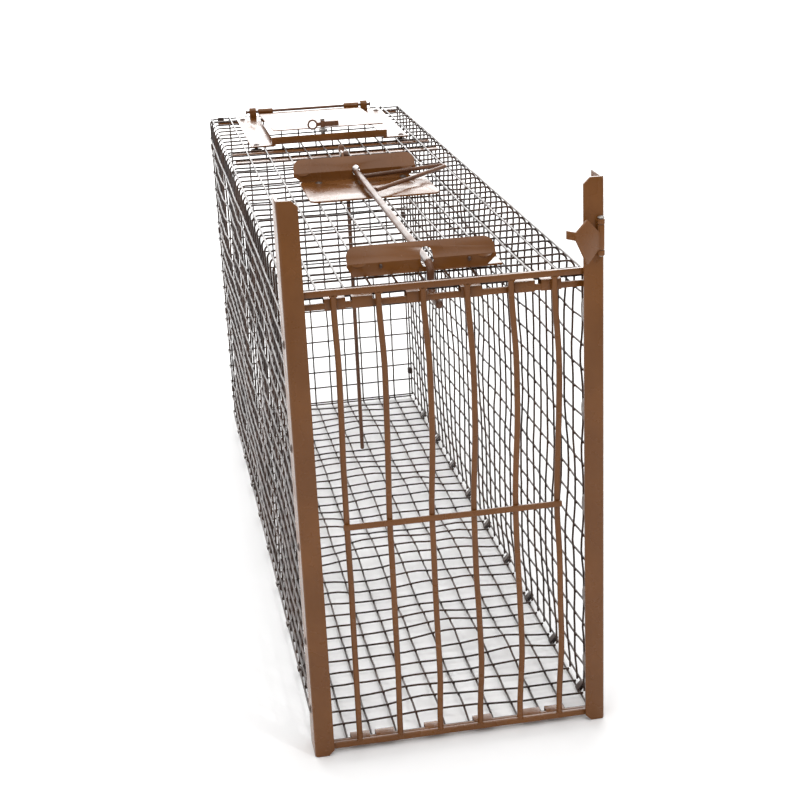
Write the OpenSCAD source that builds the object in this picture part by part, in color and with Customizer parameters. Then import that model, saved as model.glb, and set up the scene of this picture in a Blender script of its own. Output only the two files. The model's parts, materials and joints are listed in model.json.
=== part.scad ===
// Live catch trap: a long welded-wire cage with a drop door, an overhead
// trigger rod, a hanging trigger bar and a hinged bait door on top.
// The front (drop door) faces -Y, the rear faces +Y, up is +Z.
// The origin is at the middle of the footprint, on the ground.

/* [Cage] */
// Outside width of the wire tube, across the side walls
cage_width = 299; // [290:1:305]
// Height to the top of the roof wires
cage_height = 482; // [474:1:490]
// Length from the front face of the uprights to the rear wires
cage_length = 1067; // [1040:1:1100]
// Thickness of the welded wire
wire_d = 2.3; // [2:0.1:2.4]
// Distance between neighbouring wires across and up
cell = 26; // [25:0.5:26.5]
// Cells along the length
cells_long = 37; // [35:1:39]

/* [Front frame] */
// Width of each leg of the upright angles
angle_leg = 20; // [18:1:22]
// Depth of the uprights' side leg, along the cage
angle_side = 34; // [30:1:38]
// Thickness of the upright angles
angle_t = 3; // [2.5:0.1:3.5]
// Height of the uprights
upright_height = 577; // [560:1:600]
// Height of the fixed header and sill bars
frame_bar_h = 6; // [5:0.5:6.5]

/* [Drop door] */
// Diameter of the door's vertical rods
door_rod_d = 6; // [5:0.5:7]
// Spacing of the door rods
door_rod_pitch = 42.4; // [41:0.2:43]
// Height of the middle cross bar
mid_bar_z = 251; // [200:1:300]

/* [Trigger] */
// Diameter of the overhead trigger rod
rod_d = 8; // [7:0.5:8]
// Sideways place of the trigger rod
rod_x = -4; // [-4:0.5:-3.5]
// Height of the trigger rod
rod_z = 492.5; // [492:0.5:493]
// Thickness of the hanging trigger bar
bar_d = 5; // [4:0.5:5]
// Height of the trigger bar's lower end
bar_low_z = 118; // [80:1:200]

/* [Bait door] */
// Rest angle of the flap above level
flap_angle = 3; // [2.9:0.1:3.1]
// Half width of the bait opening
bait_half = 75; // [75:0.5:76]

/* [What to draw] */
// One piece, or all of them

/* [Hidden] */
$fn = 48;
brown = [0.44, 0.27, 0.16];
dark = [0.30, 0.19, 0.12];
grey = [0.42, 0.38, 0.35];

gap = 0.02;
step = wire_d + gap;
lock_rest = 35;
lock_reach = 37;
lock_y = -4.2;
lock_x = 149;
front_reach = lock_reach * sin(lock_rest) + cos(lock_rest) - lock_y;
y_mid = (cage_length + 1.1 - front_reach) / 2;
wall_x = cage_width / 2 - wire_d / 2 - step;
outer_x = wall_x + step;
roof_z = cage_height - wire_d / 2 - step;
roof_long_z = roof_z + step;
floor_long_z = 2.25;
floor_z = floor_long_z + step;
bend_r = 8;
first_y = 21;
last_y = cage_length - 8;
pitch_y = (last_y - first_y) / cells_long;
rear_vert_y = cage_length - wire_d / 2 - step;
rear_horiz_y = cage_length - wire_d / 2;
side_low_z = 8.6;
side_rows = 18;
rear_low_z = 5.5;
rear_rows = 19;
half_cols = 6;

frame_x = 153.5;
bar_y = 10;
bar_t = 4;
door_y = 3.6;
door_t = 4.8;
door_half = 142.8;
door_low_z = 5;
door_top_z = 484;
header_z = 470;
sill_z = 4;
rivet_y = 16.8;
rivet_rows = [1, 4, 8, 12, 16];

front_riser_y = 70;
middle_riser_y = 521;
sheet = 2;
riser_top = 495;
lean = 35;
lean_len = 19;
plate_z = cage_height + 0.05;
plate_top = plate_z + sheet;

bar_x = rod_x - 8;
hang_y = 549;
pivot_z = rod_z + 16;
leg_y = 56;
rod_rear_y = 640;
tip_z = 463;

rivet_spots = [[-52, first_y + 2.5 * pitch_y], [52, first_y + 2.5 * pitch_y],
    [-52, first_y + 17.5 * pitch_y], [52, first_y + 17.5 * pitch_y]];

hinge_y = 1021;
hinge_z = 492;
hinge_d = 4;
flap_reach = 223.7;
stud_x = -8;
stud_y = 794;

module placed() {
    translate([0, -y_mid, 0]) children();
}

module wire_x(x0, x1, y, z, d = wire_d) {
    translate([x0, y, z]) rotate([0, 90, 0]) cylinder(d = d, h = x1 - x0);
}

module wire_y(x, y0, y1, z, d = wire_d) {
    translate([x, y0, z]) rotate([-90, 0, 0]) cylinder(d = d, h = y1 - y0);
}

module wire_z(x, y, z0, z1, d = wire_d) {
    translate([x, y, z0]) cylinder(d = d, h = z1 - z0);
}

module block(x0, x1, y0, y1, z0, z1) {
    translate([x0, y0, z0]) cube([x1 - x0, y1 - y0, z1 - z0]);
}

// A quarter of a ring in the YZ plane, from angle a0 for 90 degrees
module bend_yz(x, y, z, r, d, a0) {
    translate([x, y, z]) rotate([90, 0, 90]) rotate([0, 0, a0])
        rotate_extrude(angle = 90) translate([r, 0]) circle(d = d);
}

// The same in the XZ plane
module bend_xz(x, y, z, r, d, a0) {
    translate([x, y, z]) rotate([90, 0, 0]) rotate([0, 0, a0])
        rotate_extrude(angle = 90) translate([r, 0]) circle(d = d);
}

function col_x(k) = (k - half_cols + 0.5) * cell;
function row_y(k) = first_y + k * pitch_y;
function side_z(k) = side_low_z + k * cell;

// The window left open in the roof for the bait door, in cross-wire numbers
function in_bait(k) = row_y(k) > 800 && row_y(k) < 1016;
// The short window that the trigger bar swings in
function in_slot(k) = row_y(k) > 522 && row_y(k) < 562;
// The cross wire that is parted round the rod's down-turned leg
function at_leg(k) = row_y(k) > 38 && row_y(k) < 64;

module floor_mesh() {
    color(brown) placed() {
        for (k = [0 : cells_long])
            wire_x(-144.6, 144.6, row_y(k), floor_z);
        for (k = [0 : 2 * half_cols - 1])
            wire_y(col_x(k), 16, cage_length - 5.2, floor_long_z);
    }
}

// Half of a roof cross wire: from x0 out to the bend and down
module roof_half(side, x0, y) {
    straight = wall_x - bend_r;
    if (side > 0) {
        wire_x(x0, straight, y, roof_z);
        bend_xz(straight, y, roof_z - bend_r, bend_r, wire_d, 0);
    } else {
        wire_x(-straight, -x0, y, roof_z);
        bend_xz(-straight, y, roof_z - bend_r, bend_r, wire_d, 90);
    }
}

module roof_cross(y) {
    straight = wall_x - bend_r;
    wire_x(-straight, straight, y, roof_z);
    bend_xz(straight, y, roof_z - bend_r, bend_r, wire_d, 0);
    bend_xz(-straight, y, roof_z - bend_r, bend_r, wire_d, 90);
}

module roof_long(x) {
    slot = abs(x - bar_x) < 8;
    bait = abs(x) < bait_half;
    rear = cage_length - 5.2;
    if (slot) {
        wire_y(x, 16, 524, roof_long_z);
        wire_y(x, 562, bait ? 801 : rear, roof_long_z);
    } else {
        wire_y(x, 16, bait ? 801 : rear, roof_long_z);
    }
    if (bait)
        wire_y(x, 1016, rear, roof_long_z);
}

module top_mesh() {
    edge_r = bend_r + step;
    color(brown) placed() {
        for (k = [0 : cells_long]) {
            if (in_bait(k)) {
                roof_half(1, bait_half, row_y(k));
                roof_half(-1, bait_half, row_y(k));
            } else if (in_slot(k)) {
                roof_half(1, -2, row_y(k));
                roof_half(-1, 22, row_y(k));
            } else if (at_leg(k)) {
                roof_half(1, 3, row_y(k));
                roof_half(-1, 11, row_y(k));
            } else {
                roof_cross(row_y(k));
            }
        }
        for (k = [1 : 2 * half_cols - 2])
            roof_long(col_x(k));
        for (s = [-1, 1])
            wire_y(s * (wall_x - bend_r + edge_r * cos(60)), 16, cage_length - 5.2,
                roof_z - bend_r + edge_r * sin(60));
    }
}

module side_mesh(s) {
    for (k = [0 : cells_long])
        wire_z(s * wall_x, row_y(k), 6.5, roof_z - bend_r - gap);
    for (k = [0 : side_rows - 1])
        wire_y(s * outer_x, 16, cage_length - 5.2, side_z(k));
}

module left_mesh() {
    color(brown) placed() side_mesh(-1);
}

module right_mesh() {
    color(brown) placed() side_mesh(1);
}

module rear_mesh() {
    color(brown) placed() {
        for (k = [0 : 2 * half_cols - 1])
            wire_z(col_x(k), rear_vert_y, 2, cage_height - 2);
        for (k = [0 : rear_rows - 1])
            wire_x(-146, 146, rear_horiz_y, rear_low_z + k * cell);
    }
}

// A crimped clip round two wires that run along Z, one at the origin and
// one at [dx, dy]
module clip_band(dx, dy, w) {
    reach = norm([dx, dy]);
    outer = wire_d / 2 + 1.1;
    inner = wire_d / 2 + 0.1;
    rotate([0, 0, atan2(dy, dx)]) linear_extrude(height = w) difference() {
        union() {
            circle(r = outer);
            translate([reach, 0]) circle(r = outer);
            translate([0, -outer]) square([reach, 2 * outer]);
        }
        circle(r = inner);
        translate([reach, 0]) circle(r = inner);
        translate([0, -inner]) square([reach, 2 * inner]);
    }
}

module clip_along_y(x, z, dx, dz, y) {
    translate([x, y + 4.5, z]) rotate([90, 0, 0]) clip_band(dx, dz, 9);
}

module clip_along_x(y, z, dy, dz, x) {
    translate([x - 4.5, y, z]) rotate([90, 0, 90]) clip_band(dy, dz, 9);
}

module edge_clips() {
    low_dx = outer_x - col_x(2 * half_cols - 1);
    corner_dx = wall_x - col_x(2 * half_cols - 1);
    color(dark) placed() {
        for (k = [1 : 4 : cells_long - 1], s = [-1, 1])
            clip_along_y(s * col_x(2 * half_cols - 1), floor_long_z, s * low_dx,
                side_low_z - floor_long_z, row_y(k) + pitch_y / 2);
        for (k = [1 : 3 : 10]) {
            x = (col_x(k) + col_x(k - 1)) / 2;
            clip_along_x(last_y, floor_z, rear_horiz_y - last_y,
                rear_low_z - floor_z, x);
            clip_along_x(last_y, roof_z, rear_horiz_y - last_y,
                rear_low_z + (rear_rows - 1) * cell - roof_z, x);
        }
        for (k = [2 : 5 : 17], s = [-1, 1])
            translate([s * wall_x, last_y, side_z(k) - cell / 2 - 4.5])
                clip_band(-s * corner_dx, rear_vert_y - last_y, 9);
    }
}

// A flat strap round a frame bar and the first cross wire
module front_clip(x, z0, z1) {
    half = 10;
    loose = 0.1;
    strap = 0.5;
    y1 = first_y + wire_d / 2;
    difference() {
        block(x - half, x + half, bar_y - loose - strap, y1 + loose + strap,
            z0 - loose - strap, z1 + loose + strap);
        block(x - half - 1, x + half + 1, bar_y - loose, y1 + loose, z0 - loose,
            z1 + loose);
    }
}

module front_clips() {
    color(dark) placed()
        for (k = [-4, -3, -1, 1, 3, 4]) {
            front_clip(k * cell, floor_z - wire_d / 2, sill_z + frame_bar_h);
            front_clip(k * cell, header_z, roof_z + wire_d / 2);
        }
}

// The flat front face of an upright, with its inner corners cut off
module upright_face(s) {
    cut = 6;
    x_in = frame_x - angle_leg;
    translate([0, angle_t, 0]) rotate([90, 0, 0]) linear_extrude(height = angle_t)
        polygon([[s * (x_in + cut), 0], [s * frame_x, 0],
            [s * frame_x, upright_height], [s * (x_in + cut), upright_height],
            [s * x_in, upright_height - cut], [s * x_in, cut]]);
}

module upright(s) {
    x0 = s > 0 ? frame_x - angle_t : -frame_x;
    difference() {
        union() {
            upright_face(s);
            block(x0, x0 + angle_t, 0, angle_side, 0, upright_height);
        }
        for (k = rivet_rows)
            wire_x(s * (frame_x - 2) - 5, s * (frame_x - 2) + 5, rivet_y,
                side_z(k) + cell / 2, 4.9);
    }
}

module left_upright() {
    color(brown) placed() upright(-1);
}

module right_upright() {
    color(brown) placed() upright(1);
}

module header_bar() {
    half = frame_x - angle_t - 0.05;
    color(brown) placed()
        block(-half, half, bar_y, bar_y + bar_t, header_z, header_z + frame_bar_h);
}

module sill_bar() {
    half = frame_x - angle_t - 0.05;
    color(brown) placed()
        block(-half, half, bar_y, bar_y + bar_t, sill_z, sill_z + frame_bar_h);
}

module upright_washers() {
    x_in = wall_x - wire_d / 2 - 1.5 - gap;
    color(grey) placed()
        for (k = rivet_rows, s = [-1, 1])
            translate([s > 0 ? x_in : -x_in - 1.5, rivet_y, side_z(k) + cell / 2])
                rotate([0, 90, 0]) difference() {
                    union() {
                        cylinder(r = 13, h = 1.5);
                        translate([-13, 0, 0]) cube([26, 17, 1.5]);
                        translate([0, 17, 0]) cylinder(r = 13, h = 1.5);
                    }
                    translate([0, 0, -1]) cylinder(d = 4.9, h = 4);
                }
}

// A rivet with its domed head and, at the other end, a flat tail
module rivet(length, head) {
    union() {
        translate([0, 0, -1]) cylinder(r = 3.6, h = 1);
        cylinder(d = 4.8, h = length);
        translate([0, 0, length]) intersection() {
            translate([0, 0, head - 7]) sphere(r = 7);
            cylinder(r = 4.6, h = head);
        }
    }
}

module upright_rivets() {
    x_in = wall_x - wire_d / 2 - 1.5 - 2 * gap;
    color(dark) placed()
        for (k = rivet_rows, s = [-1, 1])
            translate([s * x_in, rivet_y, side_z(k) + cell / 2])
                rotate([0, s * 90, 0]) rivet(frame_x - x_in + gap, 1.8);
}

module roof_straps() {
    z1 = roof_z - wire_d / 2 - gap;
    color(brown) placed()
        for (y = [716, 779, 1040])
            block(-136, 136, y - 9, y + 9, z1 - 3, z1);
}

module door_top_bar() {
    color(brown) placed()
        block(-door_half, door_half, door_y, door_y + door_t, door_top_z,
            door_top_z + 6);
}

module door_bottom_bar() {
    color(brown) placed()
        block(-door_half, door_half, door_y, door_y + door_t, door_low_z,
            door_low_z + 6);
}

module door_rods() {
    color(brown) placed()
        for (k = [-2.5 : 1 : 2.5])
            wire_z(k * door_rod_pitch, door_y + door_t / 2, door_low_z + 6 + gap,
                door_top_z - gap, door_rod_d);
}

module door_mid_bar() {
    front = door_y + door_t / 2 - door_rod_d / 2 - gap;
    half = 2.5 * door_rod_pitch + 4;
    color(brown) placed()
        block(-half, half, front - 3, front, mid_bar_z - 3, mid_bar_z + 3);
}

// Two knuckles on the right upright that hold the lock's upright pin
module lock_lugs() {
    color(brown) placed()
        for (z = [503, 533])
            difference() {
                union() {
                    translate([lock_x, lock_y, z]) cylinder(r = 3.6, h = 5);
                    block(lock_x - 3.6, lock_x + 3.6, lock_y, -gap, z, z + 5);
                }
                translate([lock_x, lock_y, z - 1]) cylinder(r = 2.05, h = 7);
            }
}

module lock_pin() {
    color(grey) placed() {
        translate([lock_x, lock_y, 502]) cylinder(r = 2, h = 37);
        translate([lock_x, lock_y, 539]) intersection() {
            cylinder(r = 3.4, h = 2);
            translate([0, 0, -3]) sphere(r = 5);
        }
    }
}

// The diamond leaf with its rear lip, swung forward clear of the door
module lock_plate() {
    lip = lock_reach - 2;
    color(brown) placed() translate([lock_x, lock_y, 0]) rotate([0, 0, lock_rest])
    difference() {
        union() {
            translate([0, 0, 508.5]) cylinder(r = 3.4, h = 24);
            translate([0, 1, 0]) rotate([90, 0, 0]) linear_extrude(height = 2)
                polygon([[0, 508.5], [0, 524], [-6, 528], [-21, 541],
                    [-lock_reach, 532], [-lock_reach, 524], [-21, 498],
                    [-6, 508.5]]);
            block(-lock_reach, -lip, -1, 12, 524, 532);
        }
        translate([0, 0, 500]) cylinder(r = 2.08, h = 50);
    }
}

// The leaning upper face of a bracket, with rounded outer corners
module lean_shape(half) {
    r = 11;
    translate([-half, 0]) square([2 * half, lean_len - r]);
    translate([-half + r, 0]) square([2 * (half - r), lean_len]);
    for (s = [-1, 1])
        translate([s * (half - r), lean_len - r]) circle(r = r);
}

// A bent plate: flat base, tapered riser and leaning top, slotted for the rod
module bracket(y, fold, foot, base, free_y, slot_r, slot_top) {
    cut = 6;
    back_y = free_y > y ? y : y + sheet;
    inset = free_y > y ? free_y - cut : free_y + cut;
    shoulder = plate_z + 10;
    difference() {
        union() {
            translate([0, 0, plate_z]) linear_extrude(height = sheet)
                polygon([[base[0], back_y], [base[1], back_y], [base[1], inset],
                    [base[1] - cut, free_y], [base[0] + cut, free_y],
                    [base[0], inset]]);
            translate([0, y + sheet, 0]) rotate([90, 0, 0])
                linear_extrude(height = sheet)
                    polygon([[foot[0], plate_z], [foot[1], plate_z],
                        [fold[1], shoulder], [fold[1], riser_top],
                        [fold[0], riser_top], [fold[0], shoulder]]);
            translate([(fold[0] + fold[1]) / 2, y, riser_top - 0.4])
                rotate([-lean, 0, 0]) translate([0, sheet, 0]) rotate([90, 0, 0])
                    linear_extrude(height = sheet)
                        lean_shape((fold[1] - fold[0]) / 2 - 0.5);
        }
        for (z = [rod_z, slot_top - slot_r])
            wire_y(rod_x, y - 5, y + 25, z, 2 * slot_r);
        block(rod_x - slot_r, rod_x + slot_r, y - 5, y + 25, rod_z,
            slot_top - slot_r);
        for (p = rivet_spots)
            wire_z(p[0], p[1], plate_z - 1, plate_top + 1, 4.9);
    }
}

module front_bracket() {
    color(brown) placed()
        bracket(front_riser_y, [-83, 65], [-77, 54], [-77, 71], 100, 6.2, 505);
}

module middle_bracket() {
    color(brown) placed()
        bracket(middle_riser_y, [-81, 70], [-69, 59], [-75, 78], 408, 4.6, 500);
}

module bracket_rivets() {
    color(dark) placed() {
        for (p = rivet_spots)
            translate([p[0], p[1], roof_z - wire_d / 2 - 1.9])
                rivet(plate_top + gap - roof_z + wire_d / 2 + 1.9, 1.8);
    }
}

module bracket_washers() {
    z1 = roof_z - wire_d / 2 - gap;
    color(grey) placed()
        for (p = rivet_spots)
            translate([p[0], p[1], z1 - 1.5]) difference() {
                cylinder(r = 8, h = 1.5);
                translate([0, 0, -1]) cylinder(d = 4.9, h = 4);
            }
}

module pivot_ear() {
    color(brown) placed() difference() {
        translate([bar_x - 6, 0, 0]) rotate([90, 0, 90]) linear_extrude(height = 2)
            polygon([[middle_riser_y + sheet + gap, 486], [hang_y + 6, 486],
                [hang_y + 6, pivot_z + 5], [middle_riser_y + 19, pivot_z + 5],
                [middle_riser_y + 5, 495], [middle_riser_y + sheet + gap, 493]]);
        wire_x(bar_x - 8, bar_x - 2, hang_y, pivot_z, 4.5);
    }
}

module trigger_pin() {
    color(grey) placed() union() {
        wire_x(bar_x - 6, bar_x + 3.2, hang_y, pivot_z, 4.4);
        wire_x(bar_x - 7.5, bar_x - 6, hang_y, pivot_z, 8);
        wire_x(bar_x + 3.1, bar_x + 4, hang_y, pivot_z, 7);
    }
}

module trigger_bar() {
    color(brown) placed() difference() {
        union() {
            wire_z(bar_x, hang_y, bar_low_z + bar_d / 2, pivot_z - 3.5, bar_d);
            translate([bar_x, hang_y, bar_low_z + bar_d / 2]) sphere(d = bar_d);
            wire_x(bar_x - bar_d / 2 - 0.2, bar_x + bar_d / 2 + 0.2, hang_y, pivot_z,
                10);
        }
        wire_x(bar_x - 9, bar_x + 9, hang_y, pivot_z, 4.56);
    }
}

module trigger_rod() {
    color(brown) placed() union() {
        wire_y(rod_x, leg_y + 8, rod_rear_y, rod_z, rod_d);
        bend_yz(rod_x, leg_y + 8, rod_z - 8, 8, rod_d, 90);
        wire_z(rod_x, leg_y, tip_z + 8, rod_z - 8, rod_d);
        bend_yz(rod_x, leg_y - 8, tip_z + 8, 8, rod_d, 270);
        wire_y(rod_x, 17, leg_y - 8, tip_z, rod_d);
        translate([rod_x, 17, tip_z]) sphere(d = rod_d);
        bend_yz(rod_x, rod_rear_y, rod_z + 7, 7, rod_d, 270);
        translate([rod_x, rod_rear_y + 7, rod_z + 7]) sphere(d = rod_d);
    }
}

// Bent wire handle: two legs from the side of the rod that meet in a round bend
module rod_handle() {
    d = 5;
    r = 6;
    tip = [120, 527];
    foot = [[rod_x, 488], [rod_x, 401]];
    a = [for (f = foot) atan2(tip[1] - f[1], tip[0] - f[0])];
    open = (a[1] - a[0]) / 2;
    back = r / tan(open) - 0.5;
    mid = (a[0] + a[1]) / 2;
    centre = tip - r / sin(open) * [cos(mid), sin(mid)];
    color(brown) placed() union() {
        for (i = [0, 1]) {
            start = (rod_d / 2 + gap + d / 2 * sin(a[i])) / cos(a[i]);
            translate([foot[i][0], foot[i][1], rod_z]) rotate([0, 90, a[i]])
                translate([0, 0, start])
                    cylinder(d = d, h = norm(tip - foot[i]) - back - start);
        }
        translate([centre[0], centre[1], rod_z])
            rotate([0, 0, a[0] - 90 + 2 * open])
                rotate_extrude(angle = 180 - 2 * open) translate([r, 0])
                    circle(d = d + 0.1);
    }
}

// Two pegs that straddle the hanging bar and carry its push to the rod
module rod_pegs() {
    color(brown) placed()
        for (s = [-1, 1])
            wire_x(bar_x - 3.5, rod_x - rod_d / 2 - gap, hang_y + s * 6.7, rod_z, 4);
}

module bait_strip(x0, x1) {
    block(x0, x1, 786, 1030, plate_z, plate_z + 1.5);
}

module strip_holes() {
    for (s = [-1, 1], y = [797, 1010])
        wire_z(s * 101, y, 470, 500, 4.9);
}

module bait_frame_left() {
    color(brown) placed() difference() {
        bait_strip(-109, -bait_half);
        strip_holes();
    }
}

module bait_frame_right() {
    color(brown) placed() difference() {
        bait_strip(bait_half, 109);
        strip_holes();
    }
}

module bait_sill() {
    z0 = plate_z + 1.5 + gap;
    color(brown) placed() difference() {
        union() {
            block(-80, 80, 787.5, 790, z0, z0 + 9.8);
            block(-80, 80, 787.5, 802, z0, z0 + 2);
        }
        wire_z(stud_x, stud_y, z0 - 1, z0 + 4, 3.3);
    }
}

module frame_rivets() {
    z0 = roof_z - wire_d / 2 - 1.9;
    color(dark) placed()
        for (s = [-1, 1], y = [797, 1010])
            translate([s * 101, y, z0])
                rivet(plate_z + 1.5 + gap - z0, 1.8);
}

module frame_washers() {
    z1 = roof_z - wire_d / 2 - gap;
    color(grey) placed()
        for (s = [-1, 1], y = [797, 1010])
            translate([s * 101, y, z1 - 1.5]) difference() {
                cylinder(r = 8, h = 1.5);
                translate([0, 0, -1]) cylinder(d = 4.9, h = 4);
            }
}

module hinge_lugs() {
    z0 = plate_z + 1.5 + gap;
    color(brown) placed()
        for (x = [-89, 79])
            difference() {
                union() {
                    block(x, x + 10, hinge_y - 5, hinge_y + 5, z0, hinge_z + 1);
                    wire_x(x, x + 10, hinge_y, hinge_z + 1, 10);
                }
                wire_x(x - 1, x + 11, hinge_y, hinge_z, hinge_d + 0.04);
            }
}

module hinge_rod() {
    color(brown) placed() union() {
        wire_x(-93, 93, hinge_y, hinge_z, hinge_d);
        wire_x(-94.5, -93, hinge_y, hinge_z, 6.6);
        wire_x(93, 94.5, hinge_y, hinge_z, 6.6);
    }
}

// The flap with a rolled barrel at each end of its rear edge
module bait_flap() {
    half = 76;
    barrel = 22;
    color(brown) placed() translate([0, hinge_y, hinge_z])
        rotate([-flap_angle, 0, 0]) difference() {
            union() {
                wire_x(-half, -half + barrel, 0, 0, 8);
                wire_x(half - barrel, half, 0, 0, 8);
                block(-half, half, -flap_reach, -2.5, -4, -2.6);
            }
            wire_x(-half - 1, half + 1, 0, 0, hinge_d + 0.14);
        }
}

module latch_stud() {
    z0 = plate_z + 1.5;
    color(grey) placed() union() {
        wire_z(stud_x, stud_y, z0 + 0.1, 513, 3.2);
        wire_z(stud_x, stud_y, z0 + 2 + 2 * gap, 497.5, 6);
        wire_z(stud_x, stud_y, 497.4, 499.3, 12);
        wire_z(stud_x, stud_y, 499.2, 501.9, 5);
        wire_z(stud_x, stud_y, 511.5, 513.5, 5.6);
    }
}

// A turn latch: a hub, a blade to one side and a finger ring to the other
module bait_latch() {
    color(brown) placed() difference() {
        union() {
            wire_z(stud_x, stud_y, 502, 511, 6);
            block(stud_x, stud_x + 22, stud_y - 0.9, stud_y + 0.9, 502.4, 509.4);
            block(stud_x - 8, stud_x, stud_y - 0.9, stud_y + 0.9, 503.5, 508.5);
            translate([stud_x - 14, stud_y, 506]) rotate([90, 0, 0])
                rotate_extrude() translate([6, 0]) circle(d = 2.4);
        }
        wire_z(stud_x, stud_y, 490, 520, 3.3);
    }
}

floor_mesh();
top_mesh();
left_mesh();
right_mesh();
rear_mesh();
edge_clips();
front_clips();
left_upright();
right_upright();
header_bar();
sill_bar();
upright_washers();
upright_rivets();
roof_straps();
door_top_bar();
door_bottom_bar();
door_mid_bar();
door_rods();
lock_lugs();
lock_pin();
lock_plate();
front_bracket();
middle_bracket();
bracket_rivets();
bracket_washers();
pivot_ear();
trigger_pin();
trigger_bar();
trigger_rod();
rod_handle();
rod_pegs();
bait_frame_left();
bait_frame_right();
bait_sill();
frame_rivets();
frame_washers();
hinge_lugs();
hinge_rod();
bait_flap();
latch_stud();
bait_latch();
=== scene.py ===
"""Looks of the live catch trap: welded wire, guide frame, drop door, trigger and bait door."""

import json
import math

import bmesh
import bpy
from mathutils import Matrix, Vector


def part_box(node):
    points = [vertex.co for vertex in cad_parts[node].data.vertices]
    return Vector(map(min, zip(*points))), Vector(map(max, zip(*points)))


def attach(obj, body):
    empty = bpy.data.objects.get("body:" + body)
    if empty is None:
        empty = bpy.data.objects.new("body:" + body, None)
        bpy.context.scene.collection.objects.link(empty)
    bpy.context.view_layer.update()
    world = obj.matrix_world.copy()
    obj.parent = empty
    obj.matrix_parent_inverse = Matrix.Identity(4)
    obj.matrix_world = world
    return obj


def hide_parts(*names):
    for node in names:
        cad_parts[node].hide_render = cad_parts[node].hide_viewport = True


MM = 0.001
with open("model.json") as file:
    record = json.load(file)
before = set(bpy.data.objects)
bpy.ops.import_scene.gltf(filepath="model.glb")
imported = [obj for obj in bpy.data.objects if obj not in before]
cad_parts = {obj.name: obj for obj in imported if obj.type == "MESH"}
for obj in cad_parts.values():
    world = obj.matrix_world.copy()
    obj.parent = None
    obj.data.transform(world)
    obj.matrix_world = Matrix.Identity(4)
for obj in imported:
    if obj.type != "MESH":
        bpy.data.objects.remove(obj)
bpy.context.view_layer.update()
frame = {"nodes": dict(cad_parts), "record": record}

# Named sizes of the finishing work, in metres
WIRE_STEP = 13 * MM
ROD_STEP = 18 * MM
BEND_RADIUS = 8 * MM
EDGE_HOLD = 55 * MM
WELD_RADIUS = 1.55 * MM
SHEET_EDGE = 0.45 * MM
BAR_EDGE = 0.7 * MM
FOLD_RADIUS = 2.6 * MM
FINE_EDGE = 0.22 * MM
SMOOTH_BELOW = math.radians(38)
SHARP_ABOVE = math.radians(32)
FLAT_BELOW = math.radians(0.6)
ROD_HOLD = 90 * MM
HANDLE_FEET = (-31.4 * MM, -114.0 * MM)
STUD_PLACES = (-50 * MM, 37.6 * MM)
STUD_HEIGHT = 491.5 * MM

# How the wire wanders: noise levels where a bulge starts and is full, and waves per metre
BULGE_STARTS = 0.36
BULGE_FULL = 0.66
CROOK_FREQUENCY = 42.0
LUMP_FREQUENCY = 320.0

# Soft lights: name, place, aim, size (metres) and power (watts)
LIGHTS = (
    ("top_light", (0.2, -0.2, 3.0), (0, 0, 0.2), (3.0, 3.0), 48),
    ("back_light", (0.3, 4.0, 1.7), (0, 0, 0.5), (6.0, 2.6), 185),
    ("far_light", (2.0, 10.0, 4.0), (2.0, 10.001, 0), (14.0, 9.0), 700),
    ("left_light", (-3.2, 1.6, 1.3), (0, 0, 0.4), (2.2, 2.0), 22),
    ("front_light", (-1.8, -2.6, 1.7), (0, -0.4, 0.3), (1.4, 1.4), 16),
    ("key_light", (0.9, -1.9, 1.9), (0, -0.4, 0.4), (0.12, 0.12), 8),
)
SKY_STRENGTH = 0.52
FLOOR_HALF = 14.0

# The camera: its place from the uprights' front faces, its angles, lens and shift
EYE = (-0.2855, -1.4435, 0.894)
LOOK_DOWN, LOOK_RIGHT, ROLL = (math.radians(a) for a in (20.9, 10.45, -2.3))
LENS_MM = 73.3
LENS_SHIFT = (-0.04, 0.05)


# ---------------------------------------------------------------- materials

def link(tree, source, target):
    tree.links.new(source, target)


def add(tree, kind, **values):
    node = tree.nodes.new(kind)
    for name, value in values.items():
        setattr(node, name, value)
    return node


def noise_at(tree, place, scale, detail=3.0, rough=0.55):
    node = add(tree, "ShaderNodeTexNoise")
    node.inputs["Scale"].default_value = scale
    node.inputs["Detail"].default_value = detail
    node.inputs["Roughness"].default_value = rough
    link(tree, place, node.inputs["Vector"])
    return node.outputs["Fac"]


def ramp(tree, source, low, high):
    node = add(tree, "ShaderNodeMapRange", interpolation_type="SMOOTHSTEP")
    node.inputs["From Min"].default_value = low
    node.inputs["From Max"].default_value = high
    link(tree, source, node.inputs["Value"])
    return node.outputs["Result"]


def blend_colour(tree, amount, first, second):
    node = add(tree, "ShaderNodeMix", data_type="RGBA")
    link(tree, amount, node.inputs["Factor"])
    for socket, colour in ((node.inputs["A"], first), (node.inputs["B"], second)):
        if isinstance(colour, tuple):
            socket.default_value = (*colour, 1)
        else:
            link(tree, colour, socket)
    return node.outputs["Result"]


def blend_value(tree, amount, first, second):
    node = add(tree, "ShaderNodeMix", data_type="FLOAT")
    link(tree, amount, node.inputs["Factor"])
    node.inputs["A"].default_value = first
    if isinstance(second, float):
        node.inputs["B"].default_value = second
    else:
        link(tree, second, node.inputs["B"])
    return node.outputs["Result"]


def new_finish(name):
    """An empty material, its shader and its Object coordinates."""
    finish = bpy.data.materials.new(name)
    finish.use_nodes = True
    tree = finish.node_tree
    shader = tree.nodes["Principled BSDF"]
    place = add(tree, "ShaderNodeTexCoord").outputs["Object"]
    return finish, tree, shader, place


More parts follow.
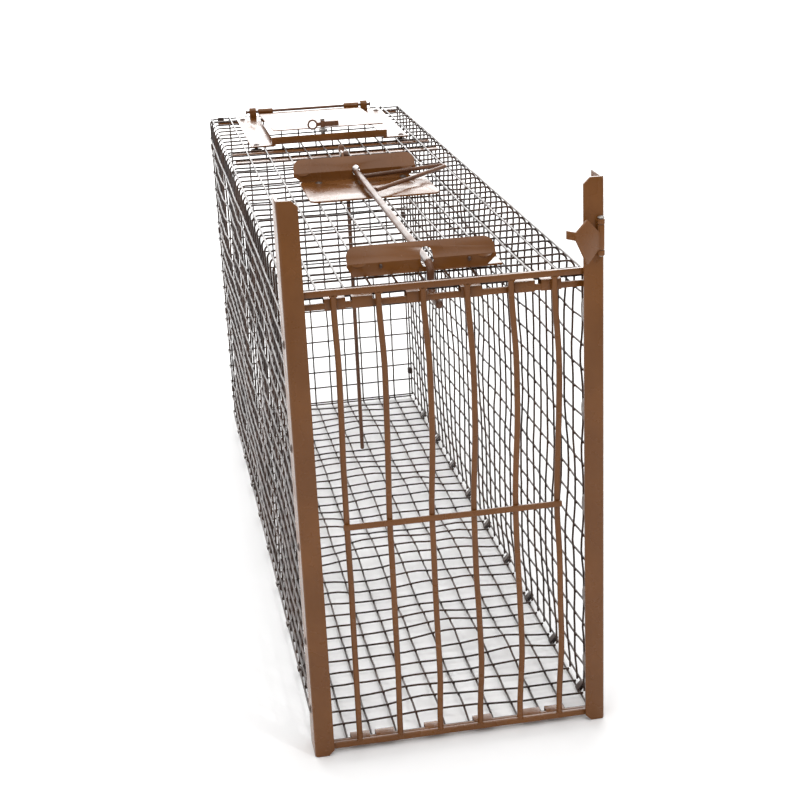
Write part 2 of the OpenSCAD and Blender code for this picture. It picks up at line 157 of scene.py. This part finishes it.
def bumped(tree, shader, place, layers):
    """Chains bump layers, each given as (noise scale, height in metres, strength)."""
    normal = None
    for scale, height, strength in layers:
        bump = add(tree, "ShaderNodeBump")
        bump.inputs["Strength"].default_value = strength
        bump.inputs["Distance"].default_value = height
        link(tree, noise_at(tree, place, scale), bump.inputs["Height"])
        if normal:
            link(tree, normal, bump.inputs["Normal"])
        normal = bump.outputs["Normal"]
    link(tree, normal, shader.inputs["Normal"])


def brown_paint(name, deep, fresh, gloss, chips, peel):
    """Brush-on brown enamel: cloudy colour, dull patches, small chips and orange peel."""
    finish, tree, shader, place = new_finish(name)
    cloud = ramp(tree, noise_at(tree, place, 14, 4), 0.35, 0.68)
    colour = blend_colour(tree, cloud, deep, fresh)
    spots = noise_at(tree, place, 260, 5, 0.7)
    chip = ramp(tree, spots, chips, chips + 0.025)
    chipped = blend_colour(tree, chip, colour, (0.060, 0.030, 0.018))
    link(tree, chipped, shader.inputs["Base Color"])
    dull = ramp(tree, noise_at(tree, place, 32, 5), 0.4, 0.75)
    rough = blend_value(tree, dull, gloss, gloss + 0.16)
    link(tree, rough, shader.inputs["Roughness"])
    shader.inputs["IOR"].default_value = 1.40
    bumped(tree, shader, place, peel)
    return finish


def mesh_paint():
    # Far darker brown than the frame's: the wire's own brown paint, darkened further as painted
    # shade for thin wire seen against the light
    return brown_paint("mesh_paint", (0.020, 0.008, 0.004), (0.052, 0.020, 0.008),
                       0.30, 0.70, [(420, 0.12 * MM, 0.22)])


def frame_paint():
    return brown_paint("frame_paint", (0.136, 0.047, 0.008), (0.167, 0.060, 0.012),
                       0.24, 0.74, [(420, 0.10 * MM, 0.20), (45, 0.6 * MM, 0.18)])


def plate_paint():
    return brown_paint("plate_paint", (0.138, 0.048, 0.009), (0.172, 0.062, 0.013),
                       0.22, 0.76, [(380, 0.05 * MM, 0.12), (22, 0.8 * MM, 0.12)])


def rod_paint():
    """Paint rubbed through to bright steel in fine lengthwise scratches."""
    finish, tree, shader, place = new_finish("rod_paint")
    cloud = ramp(tree, noise_at(tree, place, 20, 4), 0.35, 0.7)
    colour = blend_colour(tree, cloud, (0.085, 0.032, 0.012), (0.150, 0.058, 0.022))
    stretch = add(tree, "ShaderNodeMapping")
    stretch.inputs["Scale"].default_value = (700, 16, 700)
    link(tree, place, stretch.inputs["Vector"])
    streak = ramp(tree, noise_at(tree, stretch.outputs["Vector"], 1, 4, 0.6), 0.60, 0.70)
    rubbed = blend_colour(tree, streak, colour, (0.26, 0.20, 0.16))
    link(tree, rubbed, shader.inputs["Base Color"])
    link(tree, blend_value(tree, streak, 0.0, 0.55), shader.inputs["Metallic"])
    link(tree, blend_value(tree, cloud, 0.30, 0.46), shader.inputs["Roughness"])
    shader.inputs["IOR"].default_value = 1.42
    bumped(tree, shader, place, [(520, 0.10 * MM, 0.25)])
    return finish


def worn_metal(name, paint, bare, wear, rough):
    """Thin paint over crimped or pressed metal, rubbed bare in patches."""
    finish, tree, shader, place = new_finish(name)
    patch = ramp(tree, noise_at(tree, place, 130, 5, 0.65), wear, wear + 0.14)
    grime = ramp(tree, noise_at(tree, place, 40, 3), 0.3, 0.7)
    colour = blend_colour(tree, grime, paint, tuple(0.6 * c for c in paint))
    link(tree, blend_colour(tree, patch, colour, bare), shader.inputs["Base Color"])
    link(tree, blend_value(tree, patch, 0.0, 0.85), shader.inputs["Metallic"])
    link(tree, blend_value(tree, grime, rough, rough + 0.2), shader.inputs["Roughness"])
    bumped(tree, shader, place, [(700, 0.12 * MM, 0.35)])
    return finish


def washer_metal():
    return worn_metal("washer_metal", (0.150, 0.110, 0.090), (0.36, 0.33, 0.31), 0.50, 0.34)


def rivet_metal():
    return worn_metal("rivet_metal", (0.075, 0.038, 0.024), (0.34, 0.28, 0.24), 0.60, 0.26)


def pin_steel():
    return worn_metal("pin_steel", (0.20, 0.17, 0.15), (0.45, 0.42, 0.39), 0.42, 0.30)


FINISH = {
    "mesh_paint": mesh_paint(),
    "frame_paint": frame_paint(),
    "plate_paint": plate_paint(),
    "rod_paint": rod_paint(),
    "washer_metal": washer_metal(),
    "rivet_metal": rivet_metal(),
    "pin_steel": pin_steel(),
}
SLOT = {part["node"]: part["material_slot"] for part in frame["record"]["subparts"]}
BODY = {node: body for body, nodes in frame["record"]["behaviour"]["bodies"].items()
        for node in nodes}


# ------------------------------------------------------------ reading the frame

def welded_copy(node):
    """A CAD node's mesh as a bmesh with its loose triangles joined."""
    work = bmesh.new()
    work.from_mesh(frame["nodes"][node].data)
    bmesh.ops.remove_doubles(work, verts=work.verts, dist=1e-6)
    return work


def solids(node):
    """The (low, high) corners of each separate solid of a node, in a settled order."""
    work = welded_copy(node)
    left, boxes = set(work.verts), []
    while left:
        todo, points = [left.pop()], []
        while todo:
            vert = todo.pop()
            points.append(vert.co.copy())
            for edge in vert.link_edges:
                other = edge.other_vert(vert)
                if other in left:
                    left.remove(other)
                    todo.append(other)
        low = Vector(min(p[i] for p in points) for i in range(3))
        high = Vector(max(p[i] for p in points) for i in range(3))
        boxes.append((low, high))
    work.free()
    return sorted(boxes, key=lambda b: tuple(round(c, 5) for c in (*b[0], *b[1])))


def far_from(point, box):
    """How far a point is from a box."""
    gaps = [max(box[0][i] - point[i], 0, point[i] - box[1][i]) for i in range(3)]
    return math.sqrt(sum(g * g for g in gaps))


def eased(amount):
    """A gentle rise from 0 to 1."""
    t = min(max(amount, 0), 1)
    return t * t * (3 - 2 * t)


# ------------------------------------------------------------------ node trees

def new_tree(name, inputs, result):
    """A node tree with its named inputs, given as (name, kind, value), and one result."""
    tree = bpy.data.node_groups.new(name, "GeometryNodeTree")
    for label, kind, value in inputs:
        item = tree.interface.new_socket(name=label, in_out="INPUT",
                                         socket_type="NodeSocket" + kind)
        if value is not None:
            item.default_value = value
    tree.interface.new_socket(name=result, in_out="OUTPUT", socket_type="NodeSocketGeometry")
    return tree, add(tree, "NodeGroupInput").outputs


def scaled_vector(tree, vector, amount):
    node = add(tree, "ShaderNodeVectorMath", operation="SCALE")
    link(tree, vector, node.inputs[0])
    link(tree, amount, node.inputs["Scale"])
    return node.outputs[0]


def summed(tree, first, second):
    node = add(tree, "ShaderNodeVectorMath", operation="ADD")
    link(tree, first, node.inputs[0])
    link(tree, second, node.inputs[1])
    return node.outputs[0]


def attribute(tree, name):
    node = add(tree, "GeometryNodeInputNamedAttribute", data_type="FLOAT")
    node.inputs["Name"].default_value = name
    return node.outputs["Attribute"]


def either_way(tree, noise):
    """A noise's colour as a vector that leans to either side of zero."""
    node = add(tree, "ShaderNodeVectorMath", operation="SUBTRACT")
    link(tree, noise.outputs["Color"], node.inputs[0])
    node.inputs[1].default_value = (0.5, 0.5, 0.5)
    return node.outputs[0]


def bulged(tree, place, given):
    """How far the bulge carries a place: flat in parts, full in others."""
    swell = add(tree, "ShaderNodeTexNoise")
    link(tree, place, swell.inputs["Vector"])
    link(tree, given["Bulge frequency"], swell.inputs["Scale"])
    swell.inputs["Detail"].default_value = 1.0
    height = add(tree, "ShaderNodeMapRange", interpolation_type="SMOOTHSTEP")
    height.inputs["From Min"].default_value = BULGE_STARTS
    height.inputs["From Max"].default_value = BULGE_FULL
    link(tree, swell.outputs[0], height.inputs["Value"])
    return scaled_vector(tree, given["Bulge"], height.outputs["Result"])


def crooked(tree, place, given):
    """The small crooks of hand-bent wire."""
    crook = add(tree, "ShaderNodeTexNoise")
    link(tree, place, crook.inputs["Vector"])
    crook.inputs["Scale"].default_value = CROOK_FREQUENCY
    return scaled_vector(tree, either_way(tree, crook), given["Crook"])


def loosened(tree, given):
    """The plan with its bulge and crooks, held still where its slack is nought."""
    place = add(tree, "GeometryNodeInputPosition").outputs[0]
    moved = summed(tree, bulged(tree, place, given), crooked(tree, place, given))
    loose = add(tree, "GeometryNodeSetPosition")
    link(tree, given["Plan"], loose.inputs["Geometry"])
    link(tree, scaled_vector(tree, moved, attribute(tree, "slack")), loose.inputs["Offset"])
    return loose.outputs["Geometry"]


def round_stock(tree, plan, given):
    """Round wire along every edge of a plan."""
    paths = add(tree, "GeometryNodeMeshToCurve")
    link(tree, plan, paths.inputs["Mesh"])
    section = add(tree, "GeometryNodeCurvePrimitiveCircle")
    link(tree, given["Sides"], section.inputs["Resolution"])
    link(tree, given["Wire radius"], section.inputs["Radius"])
    swept = add(tree, "GeometryNodeCurveToMesh")
    link(tree, paths.outputs["Curve"], swept.inputs["Curve"])
    link(tree, section.outputs["Curve"], swept.inputs["Profile Curve"])
    swept.inputs["Fill Caps"].default_value = True
    return swept.outputs["Mesh"]


def drops(tree, points, radius, seed, fineness, least, most):
    """Round drops of uneven size, one on each point."""
    drop = add(tree, "GeometryNodeMeshIcoSphere")
    link(tree, radius, drop.inputs["Radius"])
    drop.inputs["Subdivisions"].default_value = fineness
    size = add(tree, "FunctionNodeRandomValue", data_type="FLOAT_VECTOR")
    size.inputs["Min"].default_value = least
    size.inputs["Max"].default_value = most
    link(tree, seed, size.inputs["Seed"])
    placed = add(tree, "GeometryNodeInstanceOnPoints")
    link(tree, points, placed.inputs["Points"])
    link(tree, drop.outputs["Mesh"], placed.inputs["Instance"])
    link(tree, size.outputs[0], placed.inputs["Scale"])
    plain = add(tree, "GeometryNodeRealizeInstances")
    link(tree, placed.outputs["Instances"], plain.inputs["Geometry"])
    return plain.outputs["Geometry"]


def painted_result(tree, geometry, paint, result):
    """Smooth shading and paint on what the tree gives back."""
    smooth = add(tree, "GeometryNodeSetShadeSmooth")
    link(tree, geometry, smooth.inputs[0])
    painted = add(tree, "GeometryNodeSetMaterial")
    link(tree, smooth.outputs[0], painted.inputs["Geometry"])
    link(tree, paint, painted.inputs["Material"])
    link(tree, painted.outputs["Geometry"], add(tree, "NodeGroupOutput").inputs[result])


def wire_tree():
    """Round wire along every edge of a plan, loosened a little, with a weld on each point."""
    tree, given = new_tree("welded_wire", (
        ("Plan", "Geometry", None), ("Wire radius", "Float", 1.15 * MM),
        ("Weld radius", "Float", WELD_RADIUS), ("Bulge", "Vector", None),
        ("Bulge frequency", "Float", 6.0), ("Crook", "Float", 0.5 * MM),
        ("Sides", "Int", 7), ("Seed", "Int", 3), ("Paint", "Material", None)), "Wires")
    loose = loosened(tree, given)
    spots = add(tree, "GeometryNodeMeshToPoints")
    link(tree, loose, spots.inputs["Mesh"])
    link(tree, attribute(tree, "weld"), spots.inputs["Selection"])
    welds = drops(tree, spots.outputs["Points"], given["Weld radius"], given["Seed"], 1,
                  (0.8, 0.8, 0.8), (1.25, 1.25, 1.2))
    together = add(tree, "GeometryNodeJoinGeometry")
    link(tree, round_stock(tree, loose, given), together.inputs["Geometry"])
    link(tree, welds, together.inputs["Geometry"])
    painted_result(tree, together.outputs["Geometry"], given["Paint"], "Wires")
    return tree


def bead_tree():
    """A lumpy drop of weld or paint on every point of a plan."""
    tree, given = new_tree("weld_beads", (
        ("Plan", "Geometry", None), ("Bead radius", "Float", 2.0 * MM),
        ("Unevenness", "Float", 0.35), ("Seed", "Int", 5), ("Paint", "Material", None)),
        "Beads")
    smooth_drops = drops(tree, given["Plan"], given["Bead radius"], given["Seed"], 3,
                         (0.8, 0.8, 0.7), (1.25, 1.2, 1.25))
    lump = add(tree, "ShaderNodeTexNoise")
    lump.inputs["Scale"].default_value = LUMP_FREQUENCY
    link(tree, add(tree, "GeometryNodeInputPosition").outputs[0], lump.inputs["Vector"])
    reach = add(tree, "ShaderNodeMath", operation="MULTIPLY")
    link(tree, given["Unevenness"], reach.inputs[0])
    link(tree, given["Bead radius"], reach.inputs[1])
    lumpy = add(tree, "GeometryNodeSetPosition")
    link(tree, smooth_drops, lumpy.inputs["Geometry"])
    link(tree, scaled_vector(tree, either_way(tree, lump), reach.outputs[0]),
         lumpy.inputs["Offset"])
    painted_result(tree, lumpy.outputs["Geometry"], given["Paint"], "Beads")
    return tree


def grown(name, plan, tree, values):
    """Runs a tree on a plan mesh and keeps the result as a plain mesh object."""
    seed = bpy.data.objects.new(name + "_plan", plan)
    bpy.context.scene.collection.objects.link(seed)
    modifier = seed.modifiers.new("grow", "NODES")
    modifier.node_group = tree
    for item in tree.interface.items_tree:
        if item.in_out == "INPUT" and item.name in values:
            modifier[item.identifier] = values[item.name]
    graph = bpy.context.evaluated_depsgraph_get()
    mesh = bpy.data.meshes.new_from_object(seed.evaluated_get(graph), depsgraph=graph)
    seed.modifiers.clear()
    bpy.data.objects.remove(seed)
    mesh.name = name
    piece = bpy.data.objects.new(name, mesh)
    bpy.context.scene.collection.objects.link(piece)
    return piece


def plan_mesh(name, paths, points, slack):
    """Edges along each path and a loose vertex at each point, with their slack."""
    verts, edges = [], []
    for path in paths:
        first = len(verts)
        verts += path
        edges += [(i, i + 1) for i in range(first, first + len(path) - 1)]
    weld = [0.0] * len(verts) + [1.0] * len(points)
    verts += points
    mesh = bpy.data.meshes.new(name)
    mesh.from_pydata(verts, edges, [])
    for label, values in (("slack", [slack(Vector(v)) for v in verts]), ("weld", weld)):
        mesh.attributes.new(label, "FLOAT", "POINT").data.foreach_set("value", values)
    return mesh


# ---------------------------------------------------------------- wire panels

def straight(start, end, step=WIRE_STEP):
    count = max(1, round((end - start).length / step))
    return [start.lerp(end, i / count) for i in range(count + 1)]


def bent_end(x, side, y, low, high, radius):
    """Points of a roof wire's end, from its straight part round and down."""
    turn = Vector((x - side * (radius + BEND_RADIUS), y, high - radius - BEND_RADIUS))
    steps = 6
    return [turn + BEND_RADIUS * Vector((side * math.sin(math.pi / 2 * i / steps), 0,
                                         math.cos(math.pi / 2 * i / steps)))
            for i in range(steps + 1)]


def wire_path(box, radius):
    """The centre line of a wire from its box, following its bent ends if it has any."""
    low, high = box
    size = high - low
    axis = max(range(3), key=lambda i: size[i])
    middle = (low + high) / 2
    start, end = middle.copy(), middle.copy()
    start[axis], end[axis] = low[axis], high[axis]
    if axis != 0 or size.z < 4 * radius:
        return axis, straight(start, end)
    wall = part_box("top_mesh")[1].x - 5 * radius
    start.z = end.z = high.z - radius
    left, right = [], []
    if low.x < -wall:
        left = bent_end(low.x, -1, middle.y, low.z, high.z, radius)[::-1]
        start = left.pop()
    if high.x > wall:
        right = bent_end(high.x, 1, middle.y, low.z, high.z, radius)
        end = right.pop(0)
    return axis, left + straight(start, end) + right


def crossings(wires):
    """Where wires of different directions touch each other."""
    found = []
    for i, (axis, low, high) in enumerate(wires):
        for other, its_low, its_high in wires[i + 1:]:
            if axis == other:
                continue
            third = 3 - axis - other
            a, b = (low + high) / 2, (its_low + its_high) / 2
            if low[axis] < b[axis] < high[axis] and its_low[other] < a[other] < its_high[other]:
                point = Vector((0, 0, 0))
                point[axis], point[other] = b[axis], a[other]
                point[third] = (a[third] + b[third]) / 2
                found.append(point)
    return found


def wire_panel(node, bulge, frequency, crook, held=()):
    """One wire panel of the cage, bulged a little between its held edges."""
    boxes = solids(node)
    radius = min(min(high - low) for low, high in boxes) / 2
    paths, wires = [], []
    for low, high in boxes:
        axis, path = wire_path((low, high), radius)
        paths.append(path)
        if axis == 0 and high.z - low.z > 4 * radius:
            low = Vector((low.x, low.y, high.z - 2 * radius))
        wires.append((axis, low, high))
    low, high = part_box(node)
    flat = min(range(3), key=lambda i: high[i] - low[i])

    def slack(point):
        near = [min(point[i] - low[i], high[i] - point[i]) for i in range(3) if i != flat]
        near += [far_from(point, box) for box in held]
        return eased(min(near) / EDGE_HOLD)

    plan = plan_mesh(node + "_plan", paths, crossings(wires), slack)
    values = {"Wire radius": radius, "Bulge": bulge, "Bulge frequency": frequency,
              "Crook": crook, "Sides": 7, "Paint": FINISH[SLOT[node]]}
    piece = grown(node.replace("_mesh", "_wires"), plan, WIRES, values)
    return finished(piece, node)


def finished(piece, *nodes):
    """Gives a piece the body of the CAD nodes that it stands for, and hides those nodes."""
    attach(piece, BODY[nodes[0]])
    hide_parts(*nodes)
    return piece


def cage_panels():
    plates = [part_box(n) for n in ("front_bracket", "middle_bracket", "bait_frame_left",
                                  "bait_frame_right", "bait_sill")]
    held = plates + solids("roof_straps") + [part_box("trigger_bar"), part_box("trigger_rod")]
    wire_panel("floor_mesh", (0, 0, 7 * MM), 7.0, 2.4 * MM)
    wire_panel("top_mesh", (0, 0, -2.0 * MM), 6.0, 1.0 * MM, held)
    washers = solids("upright_washers")
    wire_panel("left_mesh", (3.5 * MM, 0, 0), 5.0, 1.8 * MM, washers)
    wire_panel("right_mesh", (-4.0 * MM, 0, 0), 5.5, 2.2 * MM, washers)
    wire_panel("rear_mesh", (0, -3 * MM, 0), 7.0, 2.2 * MM)


# ------------------------------------------------------------ bars and plates

def outer_corner(work, node):
    """The long front edge where an upright's angle is folded."""
    low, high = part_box(node)
    outer = low.x if abs(low.x) > abs(high.x) else high.x
    return [e for e in work.edges
            if all(abs(v.co.x - outer) < 0.01 * MM and abs(v.co.y - low.y) < 0.01 * MM
                   for v in e.verts)]


def softened(node, edge, fold=0):
    """A CAD node with its sharp edges rounded, as sheared and painted metal has them."""
    work = welded_copy(node)
    bmesh.ops.dissolve_limit(work, angle_limit=FLAT_BELOW, verts=work.verts,
                             edges=work.edges)
    if fold:
        bmesh.ops.bevel(work, geom=outer_corner(work, node), offset=fold,
                        offset_type="OFFSET", segments=6, profile=0.5, affect="EDGES",
                        clamp_overlap=True)
    sharp = [e for e in work.edges
             if len(e.link_faces) == 2 and e.calc_face_angle(0) > SHARP_ABOVE]
    if edge:
        bmesh.ops.bevel(work, geom=sharp, offset=edge, offset_type="OFFSET", segments=2,
                        profile=0.6, affect="EDGES", clamp_overlap=True)
    mesh = bpy.data.meshes.new(node + "_finished")
    work.to_mesh(mesh)
    work.free()
    mesh.polygons.foreach_set("use_smooth", [True] * len(mesh.polygons))
    mesh.set_sharp_from_angle(angle=SMOOTH_BELOW)
    mesh.materials.clear()
    mesh.materials.append(FINISH[SLOT[node]])
    piece = bpy.data.objects.new(node + "_finished", mesh)
    bpy.context.scene.collection.objects.link(piece)
    return finished(piece, node)


def metalwork():
    for node in ("left_upright", "right_upright"):
        softened(node, BAR_EDGE, FOLD_RADIUS)
    bars = ["header_bar", "sill_bar", "door_top_bar", "door_bottom_bar", "door_mid_bar",
            "roof_straps"]
    sheets = ["front_bracket", "middle_bracket", "bait_frame_left", "bait_frame_right",
              "bait_sill", "bait_flap", "lock_plate"]
    small = ["edge_clips", "front_clips", "upright_washers", "bracket_washers",
             "frame_washers", "hinge_lugs", "lock_lugs", "pivot_ear", "bait_latch",
             "upright_rivets", "bracket_rivets", "frame_rivets", "rod_pegs", "lock_pin",
             "trigger_pin", "latch_stud", "hinge_rod", "trigger_bar"]
    for group, edge in ((bars, BAR_EDGE), (sheets, SHEET_EDGE), (small, FINE_EDGE)):
        for node in group:
            softened(node, edge)


# ---------------------------------------------------------------- round rods

def door_rods():
    """The six upright rods, each bowed a little between its welds."""
    boxes = solids("door_rods")
    paths = []
    for low, high in boxes:
        middle = (low + high) / 2
        paths.append(straight(Vector((middle.x, middle.y, low.z)),
                              Vector((middle.x, middle.y, high.z)), ROD_STEP))
    low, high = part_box("door_rods")
    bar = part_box("door_mid_bar")

    def slack(point):
        near = min(point.z - low.z, high.z - point.z, far_from(point, bar) + 4 * MM)
        return eased(near / ROD_HOLD)

    radius = (boxes[0][1].x - boxes[0][0].x) / 2
    plan = plan_mesh("door_rods_plan", paths, [], slack)
    values = {"Wire radius": radius, "Bulge": (4.0 * MM, 0, 0), "Bulge frequency": 4.0,
              "Crook": 0.5 * MM, "Sides": 20, "Paint": FINISH[SLOT["door_rods"]]}
    finished(grown("door_rods_round", plan, WIRES, values), "door_rods")


def beads(name, points, radius, body, slot, seed):
    plan = plan_mesh(name + "_plan", [], points, lambda p: 0.0)
    values = {"Bead radius": radius, "Seed": seed, "Paint": FINISH[slot]}
    piece = grown(name, plan, BEADS, values)
    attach(piece, body)


def door_welds():
    """Weld beads where the rods meet the top, middle and bottom bars."""
    top, bottom, bar = (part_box(n) for n in ("door_top_bar", "door_bottom_bar", "door_mid_bar"))
    points = []
    for low, high in solids("door_rods"):
        x = (low.x + high.x) / 2
        for side in (-1, 1):
            points.append(Vector((x + side * 2.6 * MM, low.y + 1.2 * MM, top[0].z - 0.2 * MM)))
            points.append(Vector((x + side * 2.6 * MM, low.y + 1.2 * MM,
                                  bottom[1].z + 0.2 * MM)))
            points.append(Vector((x + side * 2.9 * MM, bar[1].y + 0.6 * MM,
                                  (bar[0].z + bar[1].z) / 2 + side * 1.5 * MM)))
    beads("door_welds", points, 1.3 * MM, "drop_door", "frame_paint", 11)


def frame_welds():
    """Beads where the header and sill bars meet the uprights."""
    points = []
    for node in ("header_bar", "sill_bar"):
        low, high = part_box(node)
        for x, inward in ((low.x, 1), (high.x, -1)):
            for z in (low.z + 1 * MM, high.z - 1 * MM):
                points.append(Vector((x + inward * 1.0 * MM, low.y - 0.3 * MM, z)))
    beads("frame_welds", points, 1.6 * MM, "cage", "frame_paint", 17)


def rod_welds():
    """Beads that hold the handle's feet to the rod."""
    low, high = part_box("rod_handle")
    z = (low.z + high.z) / 2
    points = [Vector((low.x + 0.6 * MM, y + along, z + lift))
              for y in HANDLE_FEET for along in (-1.6 * MM, 1.8 * MM)
              for lift in (-1.5 * MM, 1.5 * MM)]
    beads("rod_welds", points, 1.7 * MM, "slide_rod", "rod_paint", 23)


def bracket_studs():
    """Small spot-weld heads along the fold of the front bracket."""
    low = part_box("front_bracket")[0]
    points = [Vector((x, low.y + 0.3 * MM, STUD_HEIGHT)) for x in STUD_PLACES]
    beads("bracket_studs", points, 2.0 * MM, "cage", "rivet_metal", 29)


# ------------------------------------------------------------- light and camera

def studio():
    floor = bpy.data.meshes.new("studio_floor")
    half = FLOOR_HALF
    floor.from_pydata([(-half, -half, 0), (half, -half, 0), (half, half, 0), (-half, half, 0)],
                      [], [(0, 1, 2, 3)])
    pale = bpy.data.materials.new("pale_floor")
    pale.use_nodes = True
    shader = pale.node_tree.nodes["Principled BSDF"]
    shader.inputs["Base Color"].default_value = (0.93, 0.93, 0.93, 1)
    shader.inputs["Roughness"].default_value = 0.85
    floor.materials.append(pale)
    ground = bpy.data.objects.new("studio_floor", floor)
    ground.location.z = -0.4 * MM
    bpy.context.scene.collection.objects.link(ground)

    world = bpy.data.worlds.new("studio")
    world.use_nodes = True
    world.node_tree.nodes["Background"].inputs["Color"].default_value = (1, 1, 1, 1)
    world.node_tree.nodes["Background"].inputs["Strength"].default_value = SKY_STRENGTH
    bpy.context.scene.world = world
    for light in LIGHTS:
        softbox(*light)


def softbox(name, place, aim, size, power):
    lamp = bpy.data.lights.new(name, "AREA")
    lamp.shape = "RECTANGLE"
    lamp.size, lamp.size_y = size
    lamp.energy = power
    light = bpy.data.objects.new(name, lamp)
    light.location = place
    light.rotation_euler = (Vector(aim) - Vector(place)).to_track_quat("-Z", "Y").to_euler()
    light.visible_camera = False
    bpy.context.scene.collection.objects.link(light)


def camera():
    lens = bpy.data.cameras.new("camera")
    lens.sensor_width = 36
    lens.lens = LENS_MM
    lens.shift_x, lens.shift_y = LENS_SHIFT
    lens.clip_end = 60
    eye = bpy.data.objects.new("camera", lens)
    down, turn, roll = LOOK_DOWN, LOOK_RIGHT, ROLL
    ahead = Vector((math.sin(turn) * math.cos(down), math.cos(turn) * math.cos(down),
                    -math.sin(down)))
    right = Vector((math.cos(turn), -math.sin(turn), 0))
    up = right.cross(ahead)
    across = math.cos(roll) * right + math.sin(roll) * up
    over = math.cos(roll) * up - math.sin(roll) * right
    spin = Matrix((across, over, -ahead)).transposed().to_4x4()
    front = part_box("left_upright")[0].y
    eye.matrix_world = Matrix.Translation((EYE[0], front + EYE[1], EYE[2])) @ spin
    bpy.context.scene.collection.objects.link(eye)
    bpy.context.scene.camera = eye
    bpy.context.scene.view_settings.view_transform = "Standard"


WIRES = wire_tree()
BEADS = bead_tree()
cage_panels()
metalwork()
door_rods()
for stock in ("trigger_rod", "rod_handle"):
    softened(stock, 0)
door_welds()
frame_welds()
rod_welds()
bracket_studs()
studio()
camera()
